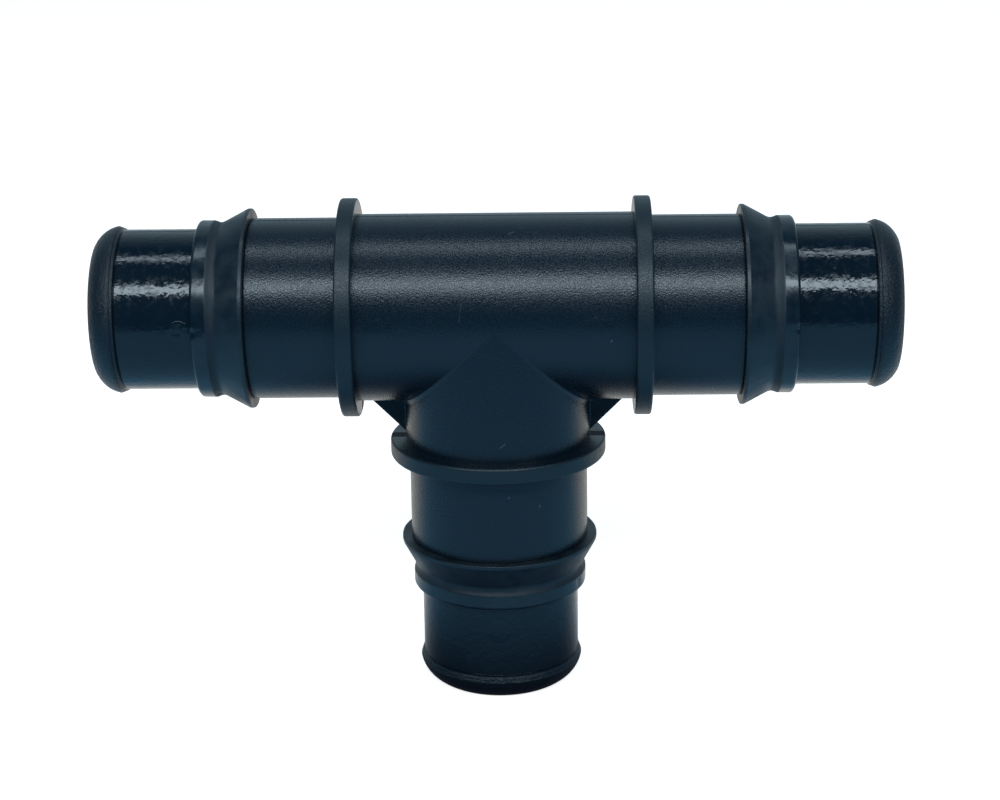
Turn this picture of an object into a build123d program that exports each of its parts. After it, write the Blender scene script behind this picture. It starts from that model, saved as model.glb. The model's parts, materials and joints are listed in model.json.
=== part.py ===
from build123d import *
import os

# Equal hose tee, 25 mm class. One moulding carries three identical spigots, and an elastomer
# lip seal sits on each of them. The run lies along X and the branch points down, along -Z.
# The origin is where the two bore axes cross. All sizes are in millimetres.

# Land: the plain seat under the hose clamp, as wide as the hose's own bore
land_d = 25.0
land_length = 12.35

# Centre body: the three stubs of tube between the crossing and the stop flanges
body_step = 0.45             # how far the centre body stands above the land, radially

# Stop flange: the hose is pushed on until it meets this collar
run_flange_from_centre = 19.0      # crossing of the axes to the flange's inner face
branch_flange_from_centre = 18.7
flange_thickness = 2.3
flange_height = 2.2          # above the centre body, radially
flange_edge_radius = 0.3

# Pilot: the smaller, polished end that the seal sits on, and the waterway through it
pilot_step = 1.4             # how far the pilot is below the land, radially
pilot_length = 17.6          # from the land's shoulder to the foot of the tip bead
pilot_wall = 2.3

# Tip bead and nose: the bead keeps the seal on, and the rounded nose leads the hose on
bead_height = 0.5
bead_ramp = 1.0
nose_length = 2.8            # bead crest to the end face
nose_bulge = 0.4             # how far the nose's arc stands out from its chord
end_face_width = 0.7         # flat ring round the mouth

# Gusset: a thin triangular web on each side of the branch, in the plane of the tee
gusset_thickness = 2.0
gusset_to_run_flange = 1.1
gusset_to_branch_flange = 0.8
gusset_root = 1.5            # how deep the web is rooted in both tube walls

# Lip seal: a ring with a lip that faces the clamp seat, a waist and a front collar
lip_height = 1.35            # how far the lip stands above the land
lip_crest_width = 0.5
lip_cone_length = 3.7        # lip crest to waist
waist_wall = 0.78            # rubber over the pilot at the waist
waist_ramp = 0.95            # waist to front collar
collar_wall = 1.18           # rubber over the pilot at the front collar
collar_length = 2.1
collar_edge_radius = 0.6
seal_bore_clearance = 0.0    # the ring is stretched over the pilot and touches it
seal_seat_clearance = 0.0    # the ring's flat back lies against the land's shoulder

# Radii
land_r = land_d / 2
body_r = land_r + body_step
flange_r = body_r + flange_height
pilot_r = land_r - pilot_step
bead_r = pilot_r + bead_height
bore_r = pilot_r - pilot_wall
end_rim_r = bore_r + end_face_width
seal_bore_r = pilot_r + seal_bore_clearance
lip_r = land_r + lip_height
waist_r = seal_bore_r + waist_wall
collar_r = seal_bore_r + collar_wall

# Places along a spigot, counted from its stop flange's inner face
flange_face = flange_thickness
shoulder = flange_face + land_length
bead_foot = shoulder + pilot_length
bead_crest = bead_foot + bead_ramp
spigot_end = bead_crest + nose_length
seal_back = shoulder + seal_seat_clearance
lip_front = seal_back + lip_crest_width
waist = lip_front + lip_cone_length
collar_back = waist + waist_ramp
collar_front = collar_back + collar_length

# Each spigot's section is drawn on a plane at its stop flange, whose x direction runs out
# along the port
spigots = {
    "left": Plane(origin=(-run_flange_from_centre, 0, 0), x_dir=(-1, 0, 0), z_dir=(0, 1, 0)),
    "right": Plane(origin=(run_flange_from_centre, 0, 0), x_dir=(1, 0, 0), z_dir=(0, -1, 0)),
    "branch": Plane(origin=(0, 0, -branch_flange_from_centre), x_dir=(0, 0, -1), z_dir=(0, -1, 0)),
}

# The run's bore has its seam at the bottom, away from the two points where the equal bores touch
run_bore_plane = Plane(origin=(0, 0, 0), x_dir=(0, 0, -1), z_dir=(1, 0, 0))

# Body: three half sections, each turned about its own port's axis, joined at the crossing
with BuildPart() as tee_body:
    for section_plane in spigots.values():
        to_crossing = -section_plane.origin.length
        with BuildSketch(section_plane):
            with BuildLine():
                Polyline(
                    (bead_crest, bead_r),
                    (bead_foot, pilot_r),
                    (shoulder, pilot_r),
                    (shoulder, land_r),
                    (flange_face, land_r),
                    (flange_face, flange_r),
                    (0, flange_r),
                    (0, body_r),
                    (to_crossing, body_r),
                    (to_crossing, 0),
                    (spigot_end, 0),
                    (spigot_end, end_rim_r),
                )
                SagittaArc((spigot_end, end_rim_r), (bead_crest, bead_r), -nose_bulge)
            make_face()
            fillet(vertices().group_by(Axis.Y)[-1], radius=flange_edge_radius)
        revolve(axis=Axis(section_plane.origin, section_plane.x_dir))

    # Gussets: both webs stop short of the stop flanges
    with BuildSketch(Plane.XZ):
        with BuildLine():
            Polyline(
                (run_flange_from_centre - gusset_to_run_flange, -body_r),
                (run_flange_from_centre - gusset_to_run_flange, gusset_root - body_r),
                (body_r - gusset_root, gusset_root - body_r),
                (body_r - gusset_root, gusset_to_branch_flange - branch_flange_from_centre),
                (body_r, gusset_to_branch_flange - branch_flange_from_centre),
                close=True,
            )
        make_face()
        mirror(about=Plane.YZ)
    extrude(amount=gusset_thickness / 2, both=True)

    # Waterway: the run's bore from mouth to mouth, and the branch's bore up to the crossing
    with BuildSketch(run_bore_plane):
        Circle(bore_r)
    extrude(amount=run_flange_from_centre + spigot_end, both=True, mode=Mode.SUBTRACT)
    with BuildSketch(Plane.XY):
        Circle(bore_r)
    extrude(amount=-branch_flange_from_centre - spigot_end, mode=Mode.SUBTRACT)

os.makedirs("parts", exist_ok=True)
tee_body.part.label = "tee_body"
export_step(tee_body.part, "parts/tee_body.step")

# Lip seals: one ring on each spigot, its flat back against the land's shoulder
for port_name, section_plane in spigots.items():
    with BuildPart() as lip_seal:
        with BuildSketch(section_plane):
            with BuildLine():
                Polyline(
                    (seal_back, seal_bore_r),
                    (seal_back, lip_r),
                    (lip_front, lip_r),
                    (waist, waist_r),
                    (collar_back, collar_r),
                    (collar_front, collar_r),
                    (collar_front, seal_bore_r),
                    close=True,
                )
            make_face()
            fillet(vertices().group_by(Axis.X)[-1].sort_by(Axis.Y)[-1], radius=collar_edge_radius)
        revolve(axis=Axis(section_plane.origin, section_plane.x_dir))
    lip_seal.part.label = f"{port_name}_lip_seal"
    export_step(lip_seal.part, f"parts/{port_name}_lip_seal.step")
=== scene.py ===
import json
import math

import bmesh
import bpy
from mathutils import Matrix, Vector


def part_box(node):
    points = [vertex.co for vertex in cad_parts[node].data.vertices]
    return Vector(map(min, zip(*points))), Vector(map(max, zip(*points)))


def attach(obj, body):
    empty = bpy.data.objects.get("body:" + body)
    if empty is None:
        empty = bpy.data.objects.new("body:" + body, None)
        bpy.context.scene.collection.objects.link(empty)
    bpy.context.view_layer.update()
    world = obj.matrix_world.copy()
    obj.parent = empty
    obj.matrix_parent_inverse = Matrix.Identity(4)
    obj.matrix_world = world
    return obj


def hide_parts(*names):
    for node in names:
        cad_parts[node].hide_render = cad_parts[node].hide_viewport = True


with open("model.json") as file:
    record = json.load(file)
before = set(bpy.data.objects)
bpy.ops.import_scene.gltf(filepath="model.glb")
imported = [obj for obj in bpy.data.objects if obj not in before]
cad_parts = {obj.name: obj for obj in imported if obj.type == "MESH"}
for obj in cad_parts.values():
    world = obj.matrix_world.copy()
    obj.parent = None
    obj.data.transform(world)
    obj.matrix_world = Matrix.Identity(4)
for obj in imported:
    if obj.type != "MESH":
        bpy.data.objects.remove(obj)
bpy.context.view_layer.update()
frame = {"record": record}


# ---------------------------------------------------------------------------------------------
# The moulding: run, branch, three stop flanges, clamp lands, pilots and two webs are one shot of
# black glass-filled plastic. The cavity is spark-eroded to a fine grain, but polished where the
# pilots are. The mould opens to the front and back, so its parting line runs along the outline.
# ---------------------------------------------------------------------------------------------

mm = 0.001

body_low, body_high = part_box("tee_body")
mounts = {mount["name"]: mount for mount in frame["record"]["mounts"]}
run_end = body_high.x
branch_end = -body_low.z

flange_thickness = 2.3 * mm
run_flange = Vector(mounts["right_hose_stop"]["pos_m"]).x - flange_thickness
branch_flange = -Vector(mounts["branch_hose_stop"]["pos_m"]).z - flange_thickness

body_radius = 12.95 * mm
flange_radius = min(body_high.y, body_high.z) - 0.002 * mm    # a hair inside the solid's own
land_radius = 12.5 * mm
pilot_radius = 11.1 * mm
bead_radius = 11.6 * mm
end_rim_radius = 9.5 * mm
bore_radius = mounts["run_bore"]["dims"]["r_mm"] * mm

# Along a spigot, counted from its stop flange's inner face
shoulder = 14.65 * mm
bead_foot = 32.25 * mm
bead_crest = 33.25 * mm
spigot_end = run_end - run_flange

flange_foot = 0.4 * mm           # plain tube that is turned with the flange
mouth_depth = 0.5 * mm           # waterway that is turned with the nose
nose_bulge = 0.4 * mm
saddle_fillet = 0.8 * mm
bore_edge = 0.3 * mm
web_half = 1.0 * mm
turns = 160                      # facets round a full turn
merge_reach = 0.004 * mm         # skins that meet are sewn together within this


class Wire:
    """A value on its way through a tree of nodes. Sums on it add Math nodes."""

    def __init__(self, nodes, socket):
        self.nodes = nodes
        self.socket = socket

    def sum(self, operation, first, *others):
        values = dict(enumerate((first, *others)))
        return self.nodes.node("ShaderNodeMath", {"operation": operation}, values)

    def __add__(self, other):
        return self.sum("ADD", self, other)

    __radd__ = __add__

    def __sub__(self, other):
        return self.sum("SUBTRACT", self, other)

    def __rsub__(self, other):
        return self.sum("SUBTRACT", other, self)

    def __mul__(self, other):
        return self.sum("MULTIPLY", self, other)

    __rmul__ = __mul__

    def __abs__(self):
        return self.sum("ABSOLUTE", self)

    def larger(self, other):
        return self.sum("MAXIMUM", self, other)

    def clipped(self):
        return self.nodes.node("ShaderNodeClamp", {}, {"Value": self})

    def rise(self, low, high):
        """0 below low, 1 above high, smooth between."""
        inputs = {"Value": self, "From Min": low, "From Max": high}
        return self.nodes.node("ShaderNodeMapRange", {"interpolation_type": "SMOOTHSTEP"}, inputs)


class Nodes:
    """A tree of nodes, built one node at a time."""

    def __init__(self, tree):
        self.tree = tree

    def fill(self, socket, value):
        """Links a wire to a socket, or sets the socket to a number, vector or colour."""
        if isinstance(value, Wire):
            self.tree.links.new(value.socket, socket)
        elif socket.type == "RGBA":
            socket.default_value = (*value, 1.0)
        else:
            socket.default_value = value

    def node(self, kind, settings=None, inputs=None, output=0):
        made = self.tree.nodes.new(kind)
        for key, value in (settings or {}).items():
            setattr(made, key, value)
        for key, value in (inputs or {}).items():
            self.fill(made.inputs[key], value)
        return Wire(self, made.outputs[output]) if made.outputs else None

    def vector_sum(self, operation, *values, output="Vector", **named):
        inputs = {**dict(enumerate(values)), **named}
        return self.node("ShaderNodeVectorMath", {"operation": operation}, inputs, output)

    def blend(self, share, first, second):
        """A colour between two colours."""
        inputs = {0: share, 6: first, 7: second}
        return self.node("ShaderNodeMix", {"data_type": "RGBA"}, inputs, output=2)

    def pick(self, share, first, second):
        """A number between two numbers."""
        return first + (second - first) * share


class Finish(Nodes):
    """A material, worked out from where a point lies on the object."""

    def __init__(self, name, ior=1.5):
        self.material = bpy.data.materials.new(name)
        self.material.use_nodes = True
        super().__init__(self.material.node_tree)
        self.shader = self.tree.nodes["Principled BSDF"]
        self.shader.inputs["IOR"].default_value = ior
        self.place = self.node("ShaderNodeTexCoord", output="Object")
        x, y, z = (
            self.node("ShaderNodeSeparateXYZ", {}, {0: self.place}, output=axis) for axis in "XYZ"
        )
        self.aside, self.depth, self.down = abs(x), y, 0 - z

    def noise(self, scale, detail, roughness):
        inputs = {"Vector": self.place, "Scale": scale, "Detail": detail, "Roughness": roughness}
        return self.node("ShaderNodeTexNoise", {}, inputs)

    def bump(self, height, depth, over=None):
        inputs = {"Height": height, "Distance": depth, "Strength": 1.0}
        if over is not None:
            inputs["Normal"] = over
        return self.node("ShaderNodeBump", {}, inputs)

    def beyond(self, distance, softness):
        """1 past a distance along any spigot, counted from its stop flange, and 0 before it."""
        on_run = self.aside.rise(run_flange + distance, run_flange + distance + softness)
        on_branch = self.down.rise(branch_flange + distance, branch_flange + distance + softness)
        return on_run.larger(on_branch)

    def scratch(self, start, stop, width):
        """A short scored line from start to stop, all in mm."""
        start, stop, width = Vector(start) * mm, Vector(stop) * mm, width * mm
        line = stop - start
        offset = self.vector_sum("SUBTRACT", self.place, start)
        along = self.vector_sum("DOT_PRODUCT", offset, line / line.length_squared, output="Value")
        foot = self.vector_sum("SCALE", line, Scale=along.clipped())
        away = self.vector_sum("DISTANCE", offset, foot, output="Value")
        return 1 - away.rise(width * 0.4, width)

    def finished(self, **links):
        for socket, wire in links.items():
            self.fill(self.shader.inputs[socket.replace("_", " ")], wire)
        return self.material


black_plastic = Finish("black_plastic", ior=1.47)

# Where each finish of the cavity is
polished = black_plastic.beyond(shoulder - 0.05 * mm, 0.1 * mm)
grained = 1 - polished
on_nose = black_plastic.beyond(bead_foot, 0.2 * mm)
rim_edge = 0.02 * mm
past_rim = black_plastic.beyond(flange_thickness - rim_edge, rim_edge)
# The flange rims: roughness is raised there, and a painted sheen lightens their tone
on_rim = black_plastic.beyond(0, rim_edge) - past_rim
clear_of_tube = (body_radius, body_radius + 0.1 * mm)
on_web = 1 - abs(black_plastic.depth).rise(web_half + 0.01 * mm, web_half + 0.03 * mm)
on_web = on_web * black_plastic.down.rise(*clear_of_tube)
on_web = on_web * black_plastic.aside.rise(*clear_of_tube)

# Textures, from fine to coarse, and then the marks of handling
sparks = black_plastic.noise(5200.0, detail=0.0, roughness=0.5).rise(0.42, 0.66)
grain = black_plastic.noise(4600.0, detail=1.0, roughness=0.5)
pitting = black_plastic.noise(2600.0, detail=3.0, roughness=0.7)
swell = black_plastic.noise(1500.0, detail=1.5, roughness=0.6)
dulled = black_plastic.noise(950.0, detail=4.0, roughness=0.65).rise(0.46, 0.60)
handled = black_plastic.noise(800.0, detail=5.0, roughness=0.7).rise(0.60, 0.70)
clouds = black_plastic.noise(90.0, detail=3.0, roughness=0.5)
scratches = (  # from, to, width
    ((1.9, -5.65, 11.65), (2.7, -5.2, 11.86), 0.12),          # on top of the run
    ((-4.4, -12.42, 3.68), (-4.7, -12.88, 1.38), 0.07),       # hairline left of the middle
    ((15.6, -12.9, -1.45), (15.7, -12.9, -1.3), 0.20),        # dig beside the right pin mark
    ((0.55, -12.94, -16.35), (1.25, -12.89, -15.8), 0.11),    # above the branch's flange
    ((10.9, -6.95, -12.6), (11.1, -6.7, -14.0), 0.10),        # near the right web
    ((1.6, -12.40, -23.8), (1.7, -12.38, -23.7), 0.16),       # two specks on the branch's land
    ((5.8, -11.07, -25.6), (5.85, -11.05, -25.4), 0.16),
)
scored = black_plastic.scratch(*scratches[0])
for mark in scratches[1:]:
    scored = scored.larger(black_plastic.scratch(*mark))

cloudy = clouds.rise(0.35, 0.65)
tone = black_plastic.blend(cloudy, (0.0026, 0.0056, 0.0092), (0.0042, 0.0080, 0.0122))
tone = black_plastic.blend(grained, tone, (0.0040, 0.0088, 0.0145))
# Lighter teal on the flange rims: a painted sheen for the light the rims catch, not a colour of the
# plastic
tone = black_plastic.blend(on_rim, tone, (0.0065, 0.0140, 0.0190))
tone = black_plastic.blend(handled * 0.25, tone, (0.020, 0.026, 0.032))
tone = black_plastic.blend(scored * 0.5, tone, (0.09, 0.10, 0.11))

grained_gloss = 0.33 - sparks * 0.12 + (clouds - 0.5) * 0.10
polished_gloss = 0.09 + dulled * 0.13 + handled * 0.12
gloss = black_plastic.pick(polished, grained_gloss, polished_gloss)
gloss = black_plastic.pick(on_nose, gloss, 0.42 - sparks * 0.12)
gloss = gloss + on_rim * 0.14 + on_web * 0.4

relief = grain * black_plastic.pick(polished, 1.0, 0.16) + pitting * 5.0 * on_nose + handled * 0.2
surface = black_plastic.bump(relief, 0.030 * mm)
surface = black_plastic.bump(swell * polished, 0.038 * mm, surface)
body_finish = black_plastic.finished(Base_Color=tone, Roughness=gloss, Normal=surface)


def swung(start, stop, share):
    """The arm that is a share of the way round from start to stop."""
    sweep = start.angle(stop)
    if sweep < 1e-4:
        return start
    from_start, from_stop = math.sin((1 - share) * sweep), math.sin(share * sweep)
    return (start * from_start + stop * from_stop) / math.sin(sweep)


def rounded(corners, steps=4, guard=0.12 * mm):
    """A section from corners of (along, radius, rounding), with a guard point on each side of a
    rounding, so that the shading stays flat beyond it."""
    points = []
    for i, (along, radius, rounding) in enumerate(corners):
        here = Vector((along, radius))
        if rounding == 0 or i in (0, len(corners) - 1):
            points.append(here)
            continue
        before = Vector(corners[i - 1][:2]) - here
        after = Vector(corners[i + 1][:2]) - here
        half_angle = before.angle(after) / 2
        reach = rounding / math.tan(half_angle)
        inward, outward = before.normalized(), after.normalized()
        centre = here + (inward + outward).normalized() * (rounding / math.sin(half_angle))
        start, stop = here + inward * reach - centre, here + outward * reach - centre
        if before.length > reach + 3 * guard:
            points.append(here + inward * (reach + guard))
        points += [centre + swung(start, stop, k / steps) for k in range(steps + 1)]
        if after.length > reach + 3 * guard:
            points.append(here + outward * (reach + guard))
    return points


def turning_tree():
    """Turns a section of (radius, along) points about Z, with a slight moulded unevenness."""
    tree = bpy.data.node_groups.new("turned_section", "GeometryNodeTree")
    sizes = {
        "Section": "Geometry",
        "Turns": "Int",
        "Unevenness": "Float",
        "Unevenness Scale": "Float",
        "Seed": "Float",
        "Finish": "Material",
    }
    for name, kind in sizes.items():
        tree.interface.new_socket(name, in_out="INPUT", socket_type="NodeSocket" + kind)
    tree.interface.new_socket("Piece", in_out="OUTPUT", socket_type="NodeSocketGeometry")
    steps = Nodes(tree)
    given = {name: steps.node("NodeGroupInput", output=name) for name in sizes}
    section = steps.node("GeometryNodeMeshToCurve", {}, {"Mesh": given["Section"]})
    axis = steps.node("GeometryNodeCurvePrimitiveCircle", {}, {
        "Resolution": given["Turns"],
        "Radius": 1e-6,
    })
    axis = steps.node("GeometryNodeSetCurveNormal", {"mode": "Z_UP"}, {"Curve": axis})
    piece = steps.node("GeometryNodeCurveToMesh", {}, {"Curve": axis, "Profile Curve": section})
    waves = steps.node("ShaderNodeTexNoise", {"noise_dimensions": "4D"}, {
        "Scale": given["Unevenness Scale"],
        "Detail": 1.0,
        "W": given["Seed"],
    })
    outward = steps.node("GeometryNodeInputNormal", output="Normal")
    height = (waves - 0.5) * given["Unevenness"]
    offset = steps.vector_sum("SCALE", outward, Scale=height)
    piece = steps.node("GeometryNodeSetPosition", {}, {"Geometry": piece, "Offset": offset})
    piece = steps.node("GeometryNodeRealizeInstances", {}, {"Geometry": piece})
    piece = steps.node("GeometryNodeSetMaterial", {}, {
        "Geometry": piece,
        "Material": given["Finish"],
    })
    steps.node("NodeGroupOutput", {}, {"Piece": piece})
    return tree


turning = turning_tree()
unevenness_scale = 260.0         # waves of about 4 mm


def turned(section, material, unevenness=0.0, seed=0.0, closed=False):
    """The plain mesh of a section turned about Z."""
    edges = [(i, i + 1) for i in range(len(section) - 1)]
    if closed:
        edges.append((len(section) - 1, 0))
    wire = bpy.data.meshes.new("section")
    wire.from_pydata([(radius, along, 0) for along, radius in section], edges, [])
    carrier = bpy.data.objects.new("section", wire)
    bpy.context.scene.collection.objects.link(carrier)
    modifier = carrier.modifiers.new("turning", "NODES")
    modifier.node_group = turning
    sizes = {
        "Turns": turns,
        "Unevenness": unevenness,
        "Unevenness Scale": unevenness_scale,
        "Seed": seed,
        "Finish": material,
    }
    for item in turning.interface.items_tree:
        if item.in_out == "INPUT" and item.name in sizes:
            modifier[item.identifier] = sizes[item.name]
    depsgraph = bpy.context.evaluated_depsgraph_get()
    made = bpy.data.meshes.new_from_object(carrier.evaluated_get(depsgraph))
    bpy.data.objects.remove(carrier)
    bpy.data.meshes.remove(wire)
    return made


# How far each stop flange is from the crossing of the axes
ports = {"left": run_flange, "right": run_flange, "branch": branch_flange}


def on_port(piece, port):
    """Moves a piece turned about Z out to its port's stop flange, and onto the port's axis."""
    side = 1 if port == "right" else -1
    swing = Matrix(((0, 0, -side, 0), (0, 1, 0, 0), (side, 0, 0, 0), (0, 0, 0, 1)))
    if port == "branch":
        swing = Matrix.Identity(4)
    piece.transform(swing @ Matrix.Translation((0, 0, -ports[port])))


def lay_grid(shape, rows):
    """Quads between rows of points, added to a bmesh."""
    laid = [[shape.verts.new(p) for p in row] for row in rows]
    for first, second in zip(laid, laid[1:]):
        for i in range(len(first) - 1):
            corners = (first[i], first[i + 1], second[i + 1], second[i])
            if len({tuple(round(c, 9) for c in v.co) for v in corners}) > 2:
                shape.faces.new(corners)


def crossing_skin(shape, radius, fillet, run_reach, branch_reach):
    """The skin of two equal tubes that cross in a tee: each row rolls a ball of the fillet's
    radius down from the run into the branch. Used for the outside and for the waterway."""
    along_run = (0, .12, .3, .5, .68, .82, .92, .97, 1.0)
    along_branch = (0, .03, .09, .2, .35, .55, .8, 1.0)
    fillet_steps = 8
    half = turns // 2
    for side in (1, -1):
        rows = []
        for j in range(half + 1):
            angle = math.pi * (j / half - 0.5)
            across, turn = abs(math.cos(angle)) if 0 < j < half else 0.0, math.sin(angle)
            touch = (radius + fillet) * across
            centre = Vector((touch, (radius + fillet) * turn, -touch))
            start, stop = Vector((0, -turn, across)), Vector((-across, -turn, 0))
            row = [
                (side * (run_reach + (touch - run_reach) * t), radius * turn, -radius * across)
                for t in along_run
            ]
            for k in range(1, fillet_steps):
                p = centre + swung(start, stop, k / fillet_steps) * fillet
                row.append((side * p.x, p.y, p.z))
            row += [
                (side * radius * across, radius * turn, -touch + (touch - branch_reach) * t)
                for t in along_branch
            ]
            rows.append(row)
        lay_grid(shape, rows)
    over = [run_reach * (1 - t) for t in along_run]
    over += [-x for x in over[-2::-1]]
    rows = []
    for j in range(half + 1):
        angle = math.pi * j / half
        rows.append([(x, radius * math.cos(angle), radius * math.sin(angle)) for x in over])
    lay_grid(shape, rows)


def nose_arc(count=7):
    """The nose, from the bead's crest to the end face's rim."""
    start, stop = Vector((bead_crest, bead_radius)), Vector((spigot_end, end_rim_radius))
    chord = stop - start
    out = Vector((-chord.y, chord.x)).normalized()
    points = []
    for k in range(1, count):
        bulge = nose_bulge * (1 - (2 * k / count - 1) ** 2)
        points.append(start + chord * (k / count) + out * bulge)
    return [(p.x, p.y, 0) for p in points]


groove = 0.12 * mm               # wide and deep, at the bead's foot
spigot_section = rounded([
    (-flange_foot, body_radius, 0),
    (0, body_radius, 0),
    (0, flange_radius, 0.3 * mm),
    (flange_thickness, flange_radius, 0.3 * mm),
    (flange_thickness, land_radius, 0.2 * mm),
    (shoulder, land_radius, 0.15 * mm),
    (shoulder, pilot_radius, 0.1 * mm),
    (bead_foot - groove, pilot_radius, 0),
    (bead_foot, pilot_radius - groove, 0.03 * mm),
    (bead_foot + 0.2 * mm, pilot_radius + 0.22 * mm, 0.08 * mm),
    (bead_foot + 0.55 * mm, pilot_radius + 0.33 * mm, 0),    # these three are a faint turned
    (bead_foot + 0.60 * mm, pilot_radius + 0.30 * mm, 0),    # line on the bead's slope
    (bead_foot + 0.65 * mm, pilot_radius + 0.38 * mm, 0),
    (bead_crest, bead_radius, 0.15 * mm),
    *nose_arc(),
    (spigot_end, end_rim_radius, 0.12 * mm),
    (spigot_end, bore_radius, 0.15 * mm),
    (spigot_end - mouth_depth, bore_radius, 0),
])

moulding = bmesh.new()
for radius, fillet, run_reach, branch_reach in (
    (body_radius, saddle_fillet, run_flange - flange_foot, branch_flange - flange_foot),
    (bore_radius, bore_edge, run_end - mouth_depth, branch_end - mouth_depth),
):
    crossing_skin(moulding, radius, fillet, run_reach, branch_reach)
for port in ports:
    spigot = turned(spigot_section, body_finish)
    on_port(spigot, port)
    moulding.from_mesh(spigot)
    bpy.data.meshes.remove(spigot)
bmesh.ops.remove_doubles(moulding, verts=moulding.verts, dist=merge_reach)

# Ejector pins leave round marks along the middle of the front: low domes on the centre body and
# the branch's pilot, and a flat disc on the left pilot
pin_marks = (  # x, z, mark's radius, tube's radius, dome's height, step at the mark's edge
    (-42.6 * mm, 0.0, 1.45 * mm, pilot_radius, 0.0, 0.07 * mm),
    (-15.5 * mm, 0.0, 1.95 * mm, body_radius, 0.10 * mm, 0.008 * mm),
    (13.8 * mm, 0.0, 2.0 * mm, body_radius, 0.10 * mm, 0.008 * mm),
    (0.0, -44.2 * mm, 1.7 * mm, pilot_radius, 0.04 * mm, 0.008 * mm),
)
pin_root = 0.3 * mm              # how deep a mark is rooted in its tube
pin_turns = 48
for x, z, pin_radius, tube_radius, dome, step in pin_marks:
    rows = []
    for j in range(pin_turns + 1):
        turn = 2 * math.pi * j / pin_turns
        row = []
        for reach in (0.0, 0.25, 0.5, 0.7, 0.85, 0.93, 0.98, 1.0):
            across, up = reach * pin_radius * math.cos(turn), reach * pin_radius * math.sin(turn)
            off_axis = across if z < -body_radius else up
            front = math.sqrt(tube_radius ** 2 - off_axis ** 2) if dome else tube_radius
            front += dome * (1 - reach ** 2) + step * math.sqrt(1 - reach ** 8)
            row.append((x + across, -front, z + up))
        row += [(x + across, pin_root - tube_radius, z + up), (x, pin_root - tube_radius, z)]
        rows.append(row)
    lay_grid(moulding, rows)

# Parting line: a low ridge where the mould's halves meet, on every plain stretch of tube
ridge_half = 0.15 * mm
ridge_height = 0.035 * mm
ridge_root = 0.10 * mm
pilot_shows = 22.0 * mm          # where the pilot comes out of its seal
ridge_outline = (
    (-1, -ridge_root), (-1, 0), (-0.5, ridge_height), (0.5, ridge_height), (1, 0), (1, -ridge_root),
)


def ridge(start, stop, outward):
    """A closed bar along a line on a tube, its foot inside the tube's wall."""
    start, stop, outward = Vector(start), Vector(stop), Vector(outward)
    rows = [[start] * 6]
    for end in (start, stop):
        rows.append([end + Vector((0, ridge_half * a, 0)) + outward * b for a, b in ridge_outline])
    rows.append([stop] * 6)
    lay_grid(moulding, [[*row, row[0]] for row in rows])


ridge((-run_flange, 0, body_radius), (run_flange, 0, body_radius), (0, 0, 1))
for first, last, radius in (
    (flange_thickness, shoulder, land_radius),
    (pilot_shows, bead_foot - 0.2 * mm, pilot_radius),
):
    for side in (1, -1):
        near, far = side * (run_flange + first), side * (run_flange + last)
        for up in (1, -1):
            ridge((near, 0, up * radius), (far, 0, up * radius), (0, 0, up))
        near, far = -branch_flange - first, -branch_flange - last
        ridge((side * radius, 0, near), (side * radius, 0, far), (side, 0, 0))

# Webs: a thin triangle on each side of the branch, with its outer edge rounded over
web_edge = 0.35 * mm
web_foot = 0.15 * mm
web_line = run_flange - 1.1 * mm + body_radius    # x - z, all along the outer edge
web_corner = body_radius - 0.6 * mm               # where it is rooted, inside both tubes
web_overlap = 0.04 * mm
web_columns = (0, .2, .35, .5, .62, .72, .8, .86, .9, .93, .955, .975, .99, 1.0)
web_rows = 24
for side in (1, -1):
    faces = []
    for front in (1, -1):
        rows = []
        for j in range(web_rows + 1):
            corner = Vector((web_corner, -web_corner))
            on_run = Vector((web_line - web_corner, -web_corner))
            on_branch = Vector((web_corner, web_corner - web_line))
            outer = on_run.lerp(on_branch, j / web_rows)
            row = []
            for t in web_columns:
                p = corner.lerp(outer, t)
                to_edge = max(0.0, (web_line - p.x + p.y) / math.sqrt(2))
                to_tube = min(
                    max(0.0, -p.y - body_radius + web_overlap),
                    max(0.0, p.x - body_radius + web_overlap),
                )
                half = web_half
                if to_edge < web_edge:
                    half -= web_edge - math.sqrt(web_edge ** 2 - (web_edge - to_edge) ** 2)
                elif to_tube < web_foot:
                    half += web_foot - math.sqrt(web_foot ** 2 - (web_foot - to_tube) ** 2)
                row.append((side * p.x, front * half, p.y))
            rows.append(row)
        faces.append(rows)
        lay_grid(moulding, rows)
    for rim in (
        lambda rows: [row[-1] for row in rows],
        lambda rows: [row[0] for row in rows],
        lambda rows: rows[0],
        lambda rows: rows[-1],
    ):
        lay_grid(moulding, [rim(rows) for rows in faces])
bmesh.ops.remove_doubles(moulding, verts=moulding.verts, dist=merge_reach)


sharp_edge = math.radians(38)    # edges that turn by more than this stay crisp


def finished_piece(name, shape, material, node):
    """Closes off a shape as one piece that rides on the fitting and stands for its solid."""
    bmesh.ops.recalc_face_normals(shape, faces=shape.faces)
    mesh = bpy.data.meshes.new(name)
    shape.to_mesh(mesh)
    shape.free()
    mesh.materials.clear()
    mesh.materials.append(material)
    for face in mesh.polygons:
        face.use_smooth = True
        face.material_index = 0
    mesh.set_sharp_from_angle(angle=sharp_edge)
    piece = bpy.data.objects.new(name, mesh)
    bpy.context.scene.collection.objects.link(piece)
    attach(piece, "root")
    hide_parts(node)


finished_piece("tee_moulding", moulding, body_finish, "tee_body")


# ---------------------------------------------------------------------------------------------
# The lip seals: three identical moulded rubber rings, stretched over the pilots. The lip faces
# the clamp seat and the flat back lies against the land's shoulder; behind the lip comes a waist
# and a front collar. Rubber comes from its mould slightly uneven.
# ---------------------------------------------------------------------------------------------

# Along a spigot, counted from its stop flange's inner face
seal_back = shoulder
lip_front = 15.15 * mm
waist = 18.85 * mm
collar_back = 19.8 * mm
collar_front = 21.9 * mm

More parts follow.
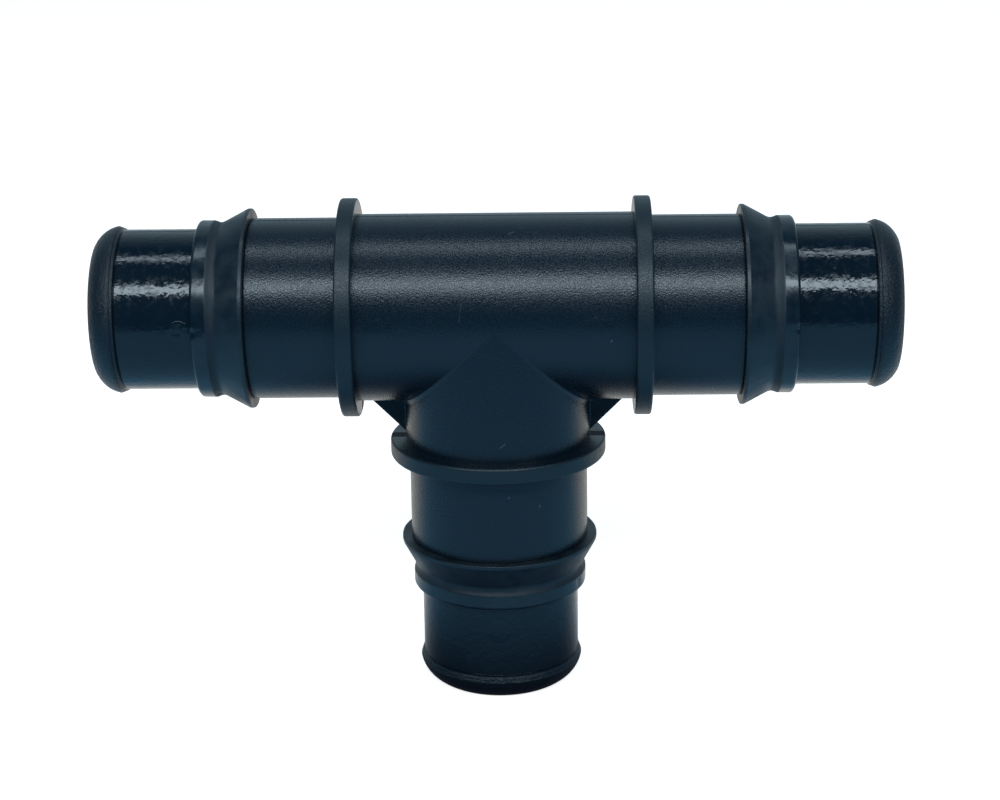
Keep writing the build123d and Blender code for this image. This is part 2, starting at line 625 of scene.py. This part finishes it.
lip_radius = 13.85 * mm
waist_radius = 11.88 * mm
collar_radius = 12.28 * mm
unevenness = 0.16 * mm
seed_step = 7.3                  # so that each ring is uneven in its own way
seal_merge_reach = 0.002 * mm

rubber = Finish("seal_rubber", ior=1.50)
dust = rubber.noise(2300.0, detail=2.0, roughness=0.5).rise(0.70, 0.78)
skin = rubber.noise(1500.0, detail=3.0, roughness=0.6)
clouds = rubber.noise(300.0, detail=3.0, roughness=0.55)
mask_edge = 0.3 * mm
on_collar = rubber.beyond(collar_back - 0.1 * mm, mask_edge)
on_ramp = rubber.beyond(waist - 0.25 * mm, mask_edge) - on_collar

tone = rubber.blend(clouds.rise(0.35, 0.65), (0.0036, 0.0080, 0.0125), (0.0085, 0.0150, 0.0200))
tone = rubber.blend(dust * 0.35, tone, (0.05, 0.055, 0.06))
gloss = rubber.pick(on_collar, 0.42, 0.22) + on_ramp * 0.15 + (clouds - 0.5) * 0.50
surface = rubber.bump(skin, 0.012 * mm)
surface = rubber.bump(clouds, 0.10 * mm, surface)
seal_finish = rubber.finished(Base_Color=tone, Roughness=gloss, Normal=surface)

seal_section = rounded([
    (seal_back, pilot_radius, 0),
    (seal_back, lip_radius, 0.12 * mm),
    (lip_front, lip_radius, 0.2 * mm),
    (waist, waist_radius, 1.2 * mm),
    (collar_back, collar_radius, 0.9 * mm),
    (collar_front, collar_radius, 0.5 * mm),
    (collar_front, pilot_radius, 0),
], steps=6)

# Small nicks, where flash was trimmed: (counted along the spigot, angle from the front, depth)
nicks = {
    "left": (
        (collar_front - 0.3 * mm, 0, 0.45 * mm),
        (waist + 0.5 * mm, -60, 0.30 * mm),
        (lip_front, 25, 0.16 * mm),
    ),
    "right": (
        (collar_front - 0.3 * mm, 0, 0.45 * mm),
        (collar_back, 75, 0.20 * mm),
        (lip_front, -15, 0.16 * mm),
    ),
    "branch": (
        (collar_back + 0.4 * mm, 66, 0.35 * mm),
        (lip_front, -28, 0.14 * mm),
    ),
}
nick_reach = 0.35 * mm
nick_floor = pilot_radius + 0.4 * mm    # the bore of the ring is left as it is


def cut_nicks(seal, port):
    """Pushes the skin in at each nick."""
    for place, angle, depth in nicks[port]:
        for vertex in seal.verts:
            x, y, z = vertex.co
            along, side = (-z - ports[port], x) if port == "branch" else (abs(x) - ports[port], z)
            radius = math.hypot(y, side)
            around = (math.atan2(side, -y) - math.radians(angle)) * radius
            share = max(0.0, 1 - math.hypot(around * 0.8, along - place) / nick_reach)
            if share > 0 and radius > nick_floor:
                fall = 1 - depth * share / radius
                vertex.co = (x * fall, y * fall, z) if port == "branch" else (x, y * fall, z * fall)


for count, port in enumerate(ports):
    ring = turned(seal_section, seal_finish, unevenness, seed=count * seed_step, closed=True)
    on_port(ring, port)
    seal = bmesh.new()
    seal.from_mesh(ring)
    bpy.data.meshes.remove(ring)
    bmesh.ops.remove_doubles(seal, verts=seal.verts, dist=seal_merge_reach)
    cut_nicks(seal, port)
    finished_piece(port + "_seal_ring", seal, seal_finish, port + "_lip_seal")


# ---------------------------------------------------------------------------------------------
# The studio: a white floor in a light tent, one long soft box overhead, one in front, and the
# camera. Seen directly, floor and tent are white. What the tee mirrors of them is a glow, blue on
# the floor round it, dark teal in front and pale behind, as cloths laid round a fitting give; right
# under the tee the floor's mirrored glow is near black, a painted shadow of the tee.
# ---------------------------------------------------------------------------------------------

cloth_front = (0.022, 0.110, 0.210)
cloth_back = (0.34, 0.48, 0.56)
cloth_floor = (0.20, 0.50, 0.78)
cloth_behind = (0.80, 0.82, 0.80)
painted_tee_shadow = (0.02, 0.03, 0.06)

floor_reach = 6.0
floor_z = body_low.z - 0.01 * mm
floor_mesh = bpy.data.meshes.new("floor")
floor_corners = ((-1, -1), (1, -1), (1, 1), (-1, 1))
floor_mesh.from_pydata(
    [(x * floor_reach, y * floor_reach, floor_z) for x, y in floor_corners], [], [(0, 1, 2, 3)]
)
floor = bpy.data.objects.new("floor", floor_mesh)
bpy.context.scene.collection.objects.link(floor)

pale = Finish("pale_floor")
on_floor = pale.vector_sum("MULTIPLY", pale.place, (1, 1, 0))
away = pale.vector_sum("LENGTH", on_floor, output="Value")
behind = (pale.depth - pale.aside * 0.33).rise(-0.015, 0.035)
# Close round the tee the mirrored glow turns near black: a painted shadow of the tee on the floor
mirrored = pale.blend(away.rise(0.010, 0.050), painted_tee_shadow, cloth_floor)
mirrored = pale.blend(away.rise(0.20, 0.27), mirrored, cloth_front)
mirrored = pale.blend(behind, mirrored, cloth_behind)
mirrored = pale.node("ShaderNodeEmission", {}, {"Color": mirrored, "Strength": 1.0})
glow = pale.node("ShaderNodeEmission", {}, {"Color": (1.0, 0.97, 0.95), "Strength": 0.80})
white = pale.node("ShaderNodeBsdfDiffuse", {}, {"Color": (0.85, 0.85, 0.85)})
white = pale.node("ShaderNodeAddShader", {}, {0: glow, 1: white})
seen = pale.node("ShaderNodeLightPath", output="Is Camera Ray")
shown = pale.node("ShaderNodeMixShader", {}, {0: seen, 1: mirrored, 2: white})
pale.fill(pale.tree.nodes["Material Output"].inputs["Surface"], shown)
floor_mesh.materials.append(pale.material)

tent = bpy.data.worlds.new("tent")
tent.use_nodes = True
bpy.context.scene.world = tent
light = Nodes(tent.node_tree)
direction = light.node("ShaderNodeTexCoord", output="Generated")
to_back = light.node("ShaderNodeSeparateXYZ", {}, {0: direction}, output="Y").rise(0.3, 0.97)
seen = light.node("ShaderNodeLightPath", output="Is Camera Ray")
shown = light.blend(seen, light.blend(to_back, cloth_front, cloth_back), (1, 1, 1))
light.fill(tent.node_tree.nodes["Background"].inputs["Color"], shown)

lamp_distance = 0.9
for name, elevation, width, height, power in (
    ("overhead_box", 92.0, 0.9, 0.11, 1.7),
    ("front_box", 42.5, 1.5, 0.18, 8.3),
):
    lamp = bpy.data.lights.new(name, "AREA")
    lamp.shape = "RECTANGLE"
    lamp.size, lamp.size_y = width, height
    lamp.energy = power
    lamp.color = (0.75, 0.90, 1.0)
    box = bpy.data.objects.new(name, lamp)
    bpy.context.scene.collection.objects.link(box)
    elevation = math.radians(elevation)
    box.location = (0, -lamp_distance * math.cos(elevation), lamp_distance * math.sin(elevation))
    box.rotation_euler = (math.pi / 2 - elevation, 0, 0)
    box.visible_camera = False

camera_data = bpy.data.cameras.new("camera")
camera_data.sensor_width = 36.0
camera_data.lens = 83.21
camera_data.clip_start, camera_data.clip_end = 0.01, 20.0
camera = bpy.data.objects.new("camera", camera_data)
bpy.context.scene.collection.objects.link(camera)
camera_above, camera_turn, camera_roll = 18.05, 1.385, -0.877    # degrees
camera.matrix_world = (
    Matrix.Rotation(math.radians(camera_turn), 4, "Z")
    @ Matrix.Rotation(math.radians(90 - camera_above), 4, "X")
    @ Matrix.Rotation(math.radians(camera_roll), 4, "Z")
    @ Matrix.Translation((0.531 * mm, -13.011 * mm, 320.585 * mm))
)
bpy.context.scene.camera = camera
bpy.context.scene.view_settings.view_transform = "Standard"
